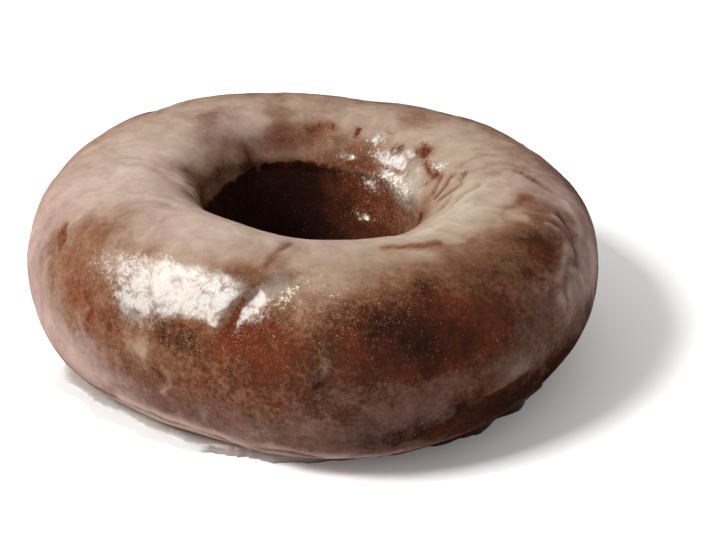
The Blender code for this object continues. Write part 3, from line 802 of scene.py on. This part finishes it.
def finishSkin(mesh):
    look, lips = skinFinish, lipLook
    points = vertexArray(mesh, "co")
    bearing, turn = ringCoordinates(points)

    def noiseTimes(amount, size, shift):
        return amount * noiseArray(points, size, shift)

    wander = noiseTimes(*look["lineWander"])
    rise = np.zeros(len(points))
    lineLightAndShade = np.zeros(len(points))
    lineScar = np.zeros(len(points))
    for halfWidth, height, film, scar, line in skinLines:
        near = lineField(bearing + wander, turn + wander, halfWidth * millimetre, line)
        rise += look["lineGain"] * height * millimetre * near
        # ridges take more film and grooves less: painted light and painted shade along the relief
        lineLightAndShade += look["lineGain"] * film * near
        if scar:
            reach = look["scarSpread"] * halfWidth * millimetre
            broad = lineField(bearing + wander, turn + wander, reach, line)
            lineScar = np.maximum(lineScar, look["scarGain"] * scar * broad)
    rise += millimetre * patchField(bearing, turn, broadForms)
    rise *= np.clip(points[:, 2] / look["flatFoot"], 0, 1)
    storePoints(mesh, points + vertexArray(mesh, "normal") * rise[:, None])

    swayTurn = turn + noiseTimes(*look["turnSway"])
    swayBearing = bearing + noiseTimes(*look["bearingSway"])
    lip = ring["lipTurn"] + lobeReach(bearing, lips["shifts"])
    lip += sum(noiseTimes(*rag) for rag in lips["rags"])
    inside = np.clip((turn - lip) / lips["edge"], 0, 1)
    # painted shade on the wall of the hole, darkest on the left-hand side where shade falls
    fromShadiest = turnedFrom(bearing, lips["shadeBearing"]) / lips["shadeSpread"]
    wallDarkAndShade = np.clip(lips["shadeMost"] * np.exp(-(fromShadiest**2)), lips["darkLeast"], 1)
    lipLine = np.exp(-(((turn - lip - lips["scarTurn"]) / lips["scarWidth"]) ** 2))
    lipLine *= np.clip(lips["scarWhole"] + noiseTimes(*lips["scarBreaks"]), 0, 1)
    top = np.exp(-(((turn - skinTop["turn"]) / skinTop["spread"]) ** 2))
    for name, level in skinBase.items():
        value = level + patchField(swayBearing, swayTurn, skinPatches[name])
        if name == "film":
            value += skinTop["film"] * top + lineLightAndShade
            wall = patchField(swayBearing, swayTurn, wallFilm) + lips["wallFilm"]
            value = value * (1 - inside) + wall * inside
        if name == "streak":
            value = np.clip(value + skinTop["streak"] * top, 0, 1) * (1 - inside)
            value += lips["wallStreak"] * inside * (1 - wallDarkAndShade)
        if name == "grain":
            value = value * (1 - lips["wallGrain"] * wallDarkAndShade * inside)
        if name == "darkAndShade":
            value = value * (1 - inside) + wallDarkAndShade * inside
        if name == "scar":
            value = np.maximum(value + lineScar, lips["scar"] * lipLine)
        storeAttribute(mesh, name, np.clip(value, look["least"], look["most"]))


def buildRing():
    source = ringSource()
    points = vertexArray(source, "co")
    bearing, turn = ringCoordinates(points)
    storeFlow(source, points, bearing, turn)
    storeAttribute(source, "draped", np.clip(patchField(bearing, turn, drapedPlaces), 0, 1))
    storeAttribute(source, "bossed", np.clip(patchField(bearing, turn, bossedPlaces), 0, 1))
    values = {**ringSkin, "Material": doughMaterial()}
    piece = meshFromTree(source, ringTree(), values, "doughnut_ring")
    finishSkin(piece.data)
    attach(piece, "root")
    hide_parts("doughnut")
    print("ring:", len(piece.data.polygons), "faces")
    return piece


# Glaze that ran down and set round the foot: clear at the left, where it spread out, mauve to brown
# elsewhere, the brown partly painted shade on the side away from the light.
# Each lobe has its bearing, its width and how far it reaches; where none does, the dough hides the edge
glazeFoot = {
    "bearingSteps": 540,
    "rows": 40,
    "rowCrowding": 1.5,  # the rows lie closer towards the edge
    "lowBand": 0.0006,  # the dough's foot is its widest point below this height
    "lowSpan": 4,  # and within this many degrees
    "inset": 0.0012,
    "least": -0.0006,
    "lobes": (
        (199, 12, 0.0049), (214, 7, 0.0026), (228, 9, 0.0032), (240, 7, 0.0030), (250, 5, 0.0021),
        (260, 4.5, 0.0015), (268, 4, 0.0010), (300, 5, 0.0008), (308, 5, 0.0013), (321, 5, 0.0019),
        (332, 5, 0.0016), (340, 5, 0.0012), (351, 6, 0.0014), (12, 6, 0.0012), (31, 5, 0.0014),
        (58, 8, 0.0009), (80, 5, 0.0013), (104, 7, 0.0011), (127, 6, 0.0015), (150, 7, 0.0010),
        (166, 5, 0.0015), (182, 8, 0.0026),
    ),
    # thin films beyond the lobes, as the lobes
    "runs": ((203, 7, 0.0022), (218, 6, 0.0030), (232, 8, 0.0022), (243, 5, 0.0008)),
    "leastRun": 0.00005,
    "fullRun": 0.0006,  # a run this long has a film of full height
    "runShoulder": (0.9, 0.8),  # how far out the film starts to end, and how high it is there
    "scallops": ((9.0, 0.00035), (24.0, 0.00022), (60.0, 0.00009)),
    "height": 0.0018,
    "clearHeight": 0.0008,
    "meniscus": 0.0026,
    "meniscusShare": 0.30,
    "filmHeight": 0.00010,
    "beads": (  # bearing, radius, half length, half width and height of drops on the clear glaze
        (214.6, 0.0418, 0.0006, 0.00040, 0.00090), (221.0, 0.0407, 0.0016, 0.00042, 0.00120),
        (237.5, 0.0391, 0.0017, 0.00042, 0.00120), (254.0, 0.0386, 0.0008, 0.00036, 0.00100),
    ),
    "clearFrom": 184,
    "clearTo": 249,
    "clearBlend": 7,
}


def lobeReach(bearing, lobes):
    reach = np.zeros(len(bearing))
    for middle, width, amount in lobes:
        reach += amount * np.exp(-((turnedFrom(bearing, middle) / width) ** 2))
    return reach


def doughFootRadius(bearing):
    points = vertexArray(cadRing.data, "co")
    radius = np.hypot(points[:, 0], points[:, 1])
    low = (points[:, 2] < glazeFoot["lowBand"]) & (radius > ring["crownRadius"])
    around = np.degrees(np.arctan2(points[low, 1], points[low, 0])) % 360
    apart = np.abs(turnedFrom(bearing[:, None], around[None, :]))
    return np.where(apart < glazeFoot["lowSpan"], radius[low][None, :], 0).max(axis=1)


def footPoints():
    look = glazeFoot
    bearing = np.arange(look["bearingSteps"]) * 360 / look["bearingSteps"]
    angle = np.radians(bearing)
    circle = np.stack([np.cos(angle), np.sin(angle), np.zeros(len(angle))], axis=1)
    dough = doughFootRadius(bearing)
    edge = dough + look["least"] + lobeReach(bearing, look["lobes"])
    for count, amount in look["scallops"]:
        edge += amount * noiseArray(circle, 1 / count, count)
    clear = np.clip((bearing - look["clearFrom"]) / look["clearBlend"], 0, 1)
    clear *= np.clip((look["clearTo"] - bearing) / look["clearBlend"], 0, 1)
    inner = dough - look["inset"]
    run = np.maximum(lobeReach(bearing, look["runs"]), look["leastRun"])
    share = np.linspace(0, 1, look["rows"])
    share = 1 - (1 - share) ** look["rowCrowding"]
    radius = inner[:, None] + (edge - inner)[:, None] * share[None, :]
    rounded = np.sqrt(1 - share**4)[None, :]
    climb = np.exp(-((share / look["meniscusShare"]) ** 2))[None, :]
    thick = look["clearHeight"] * rounded + look["meniscus"] * climb
    height = clear[:, None] * thick + (1 - clear)[:, None] * look["height"] * rounded
    for middle, away, length, width, rise in look["beads"]:
        along = (radians(1) * away * turnedFrom(bearing, middle))[:, None] / length
        height += rise * np.exp(-(along**2) - ((radius - away) / width) ** 2) * rounded
    film = look["filmHeight"] * np.minimum(run / look["fullRun"], 1)
    height = np.maximum(height, film[:, None])
    shoulder, shoulderHeight = look["runShoulder"]
    rows = [inner[:, None], radius, (edge + shoulder * run)[:, None], (edge + run)[:, None]]
    radius = np.concatenate(rows, axis=1)
    flat = np.zeros((len(bearing), 1))
    height = np.concatenate([flat, height, shoulderHeight * film[:, None], flat], axis=1)
    points = np.stack([radius * np.cos(angle)[:, None], radius * np.sin(angle)[:, None], height], axis=2)
    return points, np.repeat(clear, points.shape[1])


def buildFoot():
    points, clear = footPoints()
    steps, rows = points.shape[:2]
    faces = []
    for step in range(steps):
        near, far = step * rows, (step + 1) % steps * rows
        for row in range(rows):
            above = (row + 1) % rows
            faces.append((near + row, near + above, far + above, far + row))
    mesh = bpy.data.meshes.new("glaze_foot")
    mesh.from_pydata(points.reshape(-1, 3).tolist(), [], faces)
    mesh.update()
    mesh.shade_smooth()
    storeAttribute(mesh, "clear", clear)
    mesh.materials.append(glazeMaterial())
    piece = bpy.data.objects.new("glaze_foot", mesh)
    scene.collection.objects.link(piece)
    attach(piece, "root")
    print("foot:", len(mesh.polygons), "faces")


# Material of the glaze at the foot
glazeLook = {
    "clear": (0.40, 0.345, 0.305, 1),
    "cloudy": (0.31, 0.265, 0.235, 1),
    "mauve": (0.30, 0.235, 0.215, 1),
    "brown": (0.040, 0.021, 0.0165, 1),
    # thick glaze near the dough is lightened: painted glints on the drops, and painted light on the glaze
    # that the belly shades
    "paintedGlints": (0.74, 0.68, 0.64, 1),
    "paintedGlintsFrom": 0.0012,
    "paintedGlintsTo": 0.0018,
    "clouds": {"Amount": 0.45, "Size": 0.004, "Rag": 1.4, "Edge": 0.3, "Shift": 2.2},
    # the glaze turns brown towards +X, the side in shade: partly painted shade, partly the dough showing
    # through
    "shadedSideFrom": (-0.004, 0.010),  # along X
    "thinAlpha": 0.05,
    "thickAlpha": 0.92,
    "thickAt": 0.0009,
    "rippleSize": 0.0020,
    "ripple": {"Distance": 0.00006, "Strength": 0.6},
    "coat": (0.05, 0.9),  # on the brown glaze and on the clear glaze
    "shader": {"Roughness": 0.09, "Specular IOR Level": 0.1, "Coat IOR": 1.9, "IOR": 1.5},
}


def glazeMaterial():
    look = glazeLook
    material, tree, shader = newMaterial("clear_sugar_glaze")
    place = addNode(tree, "ShaderNodeTexCoord").outputs["Object"]
    cloudy = groupNode(tree, raggedMask, {"Vector": place, **look["clouds"]})["Mask"]
    clear = attributeNode(tree, "clear", "Fac")
    parts = addNode(tree, "ShaderNodeSeparateXYZ", {0: place}).outputs
    # towards +X the glaze turns brown: partly painted shade
    toRight = remap(tree, parts[0], *look["shadedSideFrom"])
    glaze = mixed(tree, cloudy, look["clear"], look["cloudy"])
    # lightens the thick glaze: painted glints and painted light
    paintedGlintShare = remap(tree, parts[2], look["paintedGlintsFrom"], look["paintedGlintsTo"])
    glaze = mixed(tree, paintedGlintShare, glaze, look["paintedGlints"])
    brown = mixed(tree, toRight, look["mauve"], look["brown"])
    colour = mixed(tree, clear, brown, glaze)
    alpha = remap(tree, parts[2], 0.0, look["thickAt"], look["thinAlpha"], look["thickAlpha"], False)
    alpha = sums(tree, "MAXIMUM", alpha, less(tree, 1.0, clear))
    ripple = noiseValue(tree, place, look["rippleSize"], 3.0, 0.5)
    bump = addNode(tree, "ShaderNodeBump", {"Height": ripple, **look["ripple"]}).outputs[0]
    coat = remap(tree, clear, 0.0, 1.0, *look["coat"], False)
    values = {"Base Color": colour, "Alpha": alpha, "Normal": bump, "Coat Weight": coat}
    setInputs(tree, shader, {**values, **look["shader"]})
    return material


# Sugar crystals that sparkle on the skin
crystals = {
    "Number": 700.0,  # to a square centimetre, where they lie thickest
    "Least": 0.12,  # how thickly they lie on the smooth film
    "Smallest": 0.000018,
    "Largest": 0.000074,
    "Lowest": 0.0026,
    "Cluster Size": 0.0030,
    "Contrast": 1.5,
    "Seed": 7,
}
clusterSpan = (0.46, 0.66)
crystalFaces = 20
squareCentimetres = 10000.0  # in a square metre


def crystalTree():
    inputs = [(name, "NodeSocketInt" if name == "Seed" else "NodeSocketFloat") for name in crystals]
    tree, given = newTree("sugarCrystals", inputs + [("Material", "NodeSocketMaterial")])
    grain = sums(tree, "MAXIMUM", storedField(tree, "grain", "FLOAT"), given["Least"])
    wanted = sums(tree, "POWER", grain, given["Contrast"])
    position = addNode(tree, "GeometryNodeInputPosition").outputs[0]
    scale = sums(tree, "DIVIDE", 1.0, given["Cluster Size"])
    inputs = {"Vector": position, "Scale": scale, "Detail": 4.0, "Roughness": 0.7}
    clusters = addNode(tree, "ShaderNodeTexNoise", inputs).outputs[0]
    wanted = times(tree, wanted, remap(tree, clusters, *clusterSpan))
    density = times(tree, wanted, times(tree, given["Number"], squareCentimetres))
    upward = addNode(tree, "ShaderNodeSeparateXYZ", {0: position}).outputs[2]
    above = sums(tree, "GREATER_THAN", upward, given["Lowest"])
    inputs = {"Mesh": given["Geometry"], "Selection": above, "Density": density, "Seed": given["Seed"]}
    spots = addNode(tree, "GeometryNodeDistributePointsOnFaces", inputs)
    grainShape = addNode(tree, "GeometryNodeMeshIcoSphere", {"Radius": 1.0, "Subdivisions": 1})
    inputs = {2: given["Smallest"], 3: given["Largest"], "Seed": given["Seed"]}
    size = addNode(tree, "FunctionNodeRandomValue", inputs, data_type="FLOAT")
    inputs = {0: (0.0, 0.0, 0.0), 1: (pi, pi, pi), "Seed": given["Seed"]}
    spin = addNode(tree, "FunctionNodeRandomValue", inputs, data_type="FLOAT_VECTOR")
    inputs = {"Points": spots.outputs[0], "Instance": grainShape.outputs[0]}
    inputs.update({"Rotation": spin.outputs[0], "Scale": size.outputs[1]})
    placed = addNode(tree, "GeometryNodeInstanceOnPoints", inputs)
    closeTree(tree, placed.outputs[0], given["Material"])
    return tree


crystalLook = {
    "clear": (0.34, 0.17, 0.070, 1),
    "pale": (0.60, 0.38, 0.20, 1),
    "grainSize": 0.0006,
    "shader": {"Roughness": 0.35, "Specular IOR Level": 0.15},
}


def crystalMaterial():
    look = crystalLook
    material, tree, shader = newMaterial("sugar_crystals")
    place = addNode(tree, "ShaderNodeTexCoord").outputs["Object"]
    grain = groupNode(tree, sugarGrain, {"Vector": place, "Size": look["grainSize"]})
    colour = mixed(tree, grain["Height"], look["clear"], look["pale"])
    setInputs(tree, shader, {"Base Color": colour, **look["shader"]})
    return material


def buildCrystals(skin):
    values = {**crystals, "Material": crystalMaterial()}
    piece = meshFromTree(skin.data, crystalTree(), values, "sugar_crystals")
    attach(piece, "root")
    print("crystals:", len(piece.data.polygons) // crystalFaces)


# Floor, light and camera
studio = {
    "floorSize": 6.0,
    "floorDrop": 0.00005,
    "floorLook": {
        "Base Color": (0.90, 0.895, 0.89, 1),
        "Roughness": 0.9,
        "Specular IOR Level": 0.0,
        "Emission Color": (1, 1, 1, 1),
        "Emission Strength": 0.10,
    },
    # bearing, elevation, distance, width, height and power; the panel shows in reflections only
    "key": (205, 47, 0.9, 0.22, 0.22, 9.4),
    "panel": (192, 37, 0.9, 0.94, 0.98, 17.6),
    "panelColour": (0.935, 0.995, 0.97),
    "backGlow": 0.80,
    "frontGlow": 0.14,
    "glowLean": (0.8, 0.6),  # towards the back and up
    "glowSpan": (-0.5, 0.8),
    "skyTint": (1.0, 0.985, 0.97, 1),
}
photoView = {
    "distance": 0.234,
    "aimHeight": 0.015,
    "elevation": 27.516,
    "turnRight": 2.065,
    "tiltDown": 1.167,
    "lens": 70.8,
    "sensor": 36.0,
}


def buildFloor():
    half = studio["floorSize"] / 2
    mesh = bpy.data.meshes.new("floor")
    corners = [(-half, -half), (half, -half), (half, half), (-half, half)]
    mesh.from_pydata([(x, y, -studio["floorDrop"]) for x, y in corners], [], [(0, 1, 2, 3)])
    floor = bpy.data.objects.new("floor", mesh)
    scene.collection.objects.link(floor)
    material, tree, shader = newMaterial("pale_floor")
    setInputs(tree, shader, studio["floorLook"])
    mesh.materials.append(material)


def areaLight(name, bearing, elevation, distance, width, height, power):
    light = bpy.data.lights.new(name, "AREA")
    light.shape = "RECTANGLE"
    light.size = width
    light.size_y = height
    light.energy = power
    holder = bpy.data.objects.new(name, light)
    flat = cos(radians(elevation))
    across = (cos(radians(bearing)) * flat, sin(radians(bearing)) * flat)
    towards = Vector((*across, sin(radians(elevation))))
    holder.location = towards * distance
    holder.rotation_euler = towards.to_track_quat("Z", "Y").to_euler()
    holder.visible_camera = False
    scene.collection.objects.link(holder)
    return holder


def buildLight():
    areaLight("softbox", *studio["key"]).visible_glossy = False
    panel = areaLight("panel", *studio["panel"])
    panel.data.color = studio["panelColour"]
    panel.visible_diffuse = False
    world = bpy.data.worlds.new("studio")
    scene.world = world
    world.use_nodes = True
    tree = world.node_tree
    background = tree.nodes["Background"]
    direction = addNode(tree, "ShaderNodeTexCoord").outputs["Generated"]
    parts = addNode(tree, "ShaderNodeSeparateXYZ", {0: direction}).outputs
    leanBack, leanUp = studio["glowLean"]
    back = plus(tree, times(tree, parts[1], leanBack), times(tree, parts[2], leanUp))
    glow = remap(tree, back, *studio["glowSpan"], studio["frontGlow"], studio["backGlow"])
    tree.links.new(glow, background.inputs["Strength"])
    background.inputs["Color"].default_value = studio["skyTint"]


def buildCamera():
    lens = bpy.data.cameras.new("photo_view")
    lens.lens = photoView["lens"]
    lens.sensor_width = photoView["sensor"]
    lens.sensor_fit = "HORIZONTAL"
    lens.clip_start = 0.01
    camera = bpy.data.objects.new("photo_view", lens)
    elevation = radians(photoView["elevation"])
    away = photoView["distance"]
    camera.location = (0, -away * cos(elevation), photoView["aimHeight"] + away * sin(elevation))
    down = photoView["elevation"] + photoView["tiltDown"]
    camera.rotation_euler = (radians(90 - down), 0, radians(-photoView["turnRight"]))
    scene.collection.objects.link(camera)
    scene.camera = camera
    scene.view_settings.view_transform = "Standard"


buildFloor()
buildLight()
buildCamera()
print("studio: floor, softbox and camera")
doughnut = buildRing()
buildFoot()
buildCrystals(doughnut)
